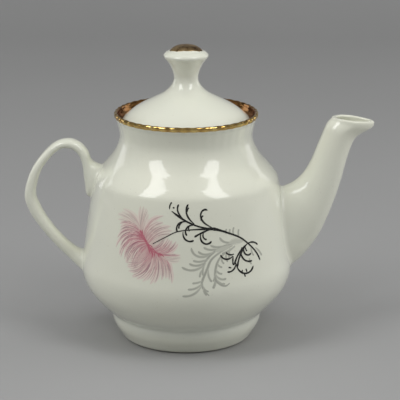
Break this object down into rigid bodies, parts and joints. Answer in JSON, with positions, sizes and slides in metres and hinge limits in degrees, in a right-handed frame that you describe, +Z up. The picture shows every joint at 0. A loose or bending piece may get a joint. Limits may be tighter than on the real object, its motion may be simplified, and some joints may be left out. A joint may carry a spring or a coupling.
{
  "type": "porcelain teapot",
  "caption": "White porcelain teapot with a lift-off domed lid, swept spout, loop handle, gilded rim and knob, and a floral transfer.",
  "frame": {"origin": "centre of the foot ring on the plane that the pot stands on", "axes": "+Z up along the axis of the pot and lid, +X towards the spout, -X towards the handle, -Y towards the decorated side"},
  "size_m": [0.1985, 0.1202, 0.1699],
  "materials": {
    "porcelain": "glossy clear glaze",
    "gilding": "burnished gold, rubbed at the edges",
    "transfer_print": "printed enamel under a gloss"
  },
  "bodies": {
    "pot": {"pot_body": "porcelain", "spout": "porcelain", "handle": "porcelain", "rim_gilding": "gilding", "floral_transfer": "transfer_print"},
    "lid_assembly": {"lid": "porcelain", "lid_knob": "porcelain", "knob_gilding": "gilding"}
  },
  "joints": [
    {"name": "lid_lift", "type": "slide", "parent": "pot", "child": "lid_assembly", "axis": [0, 0, 1], "range_m": [0, 0.06]}
  ]
}
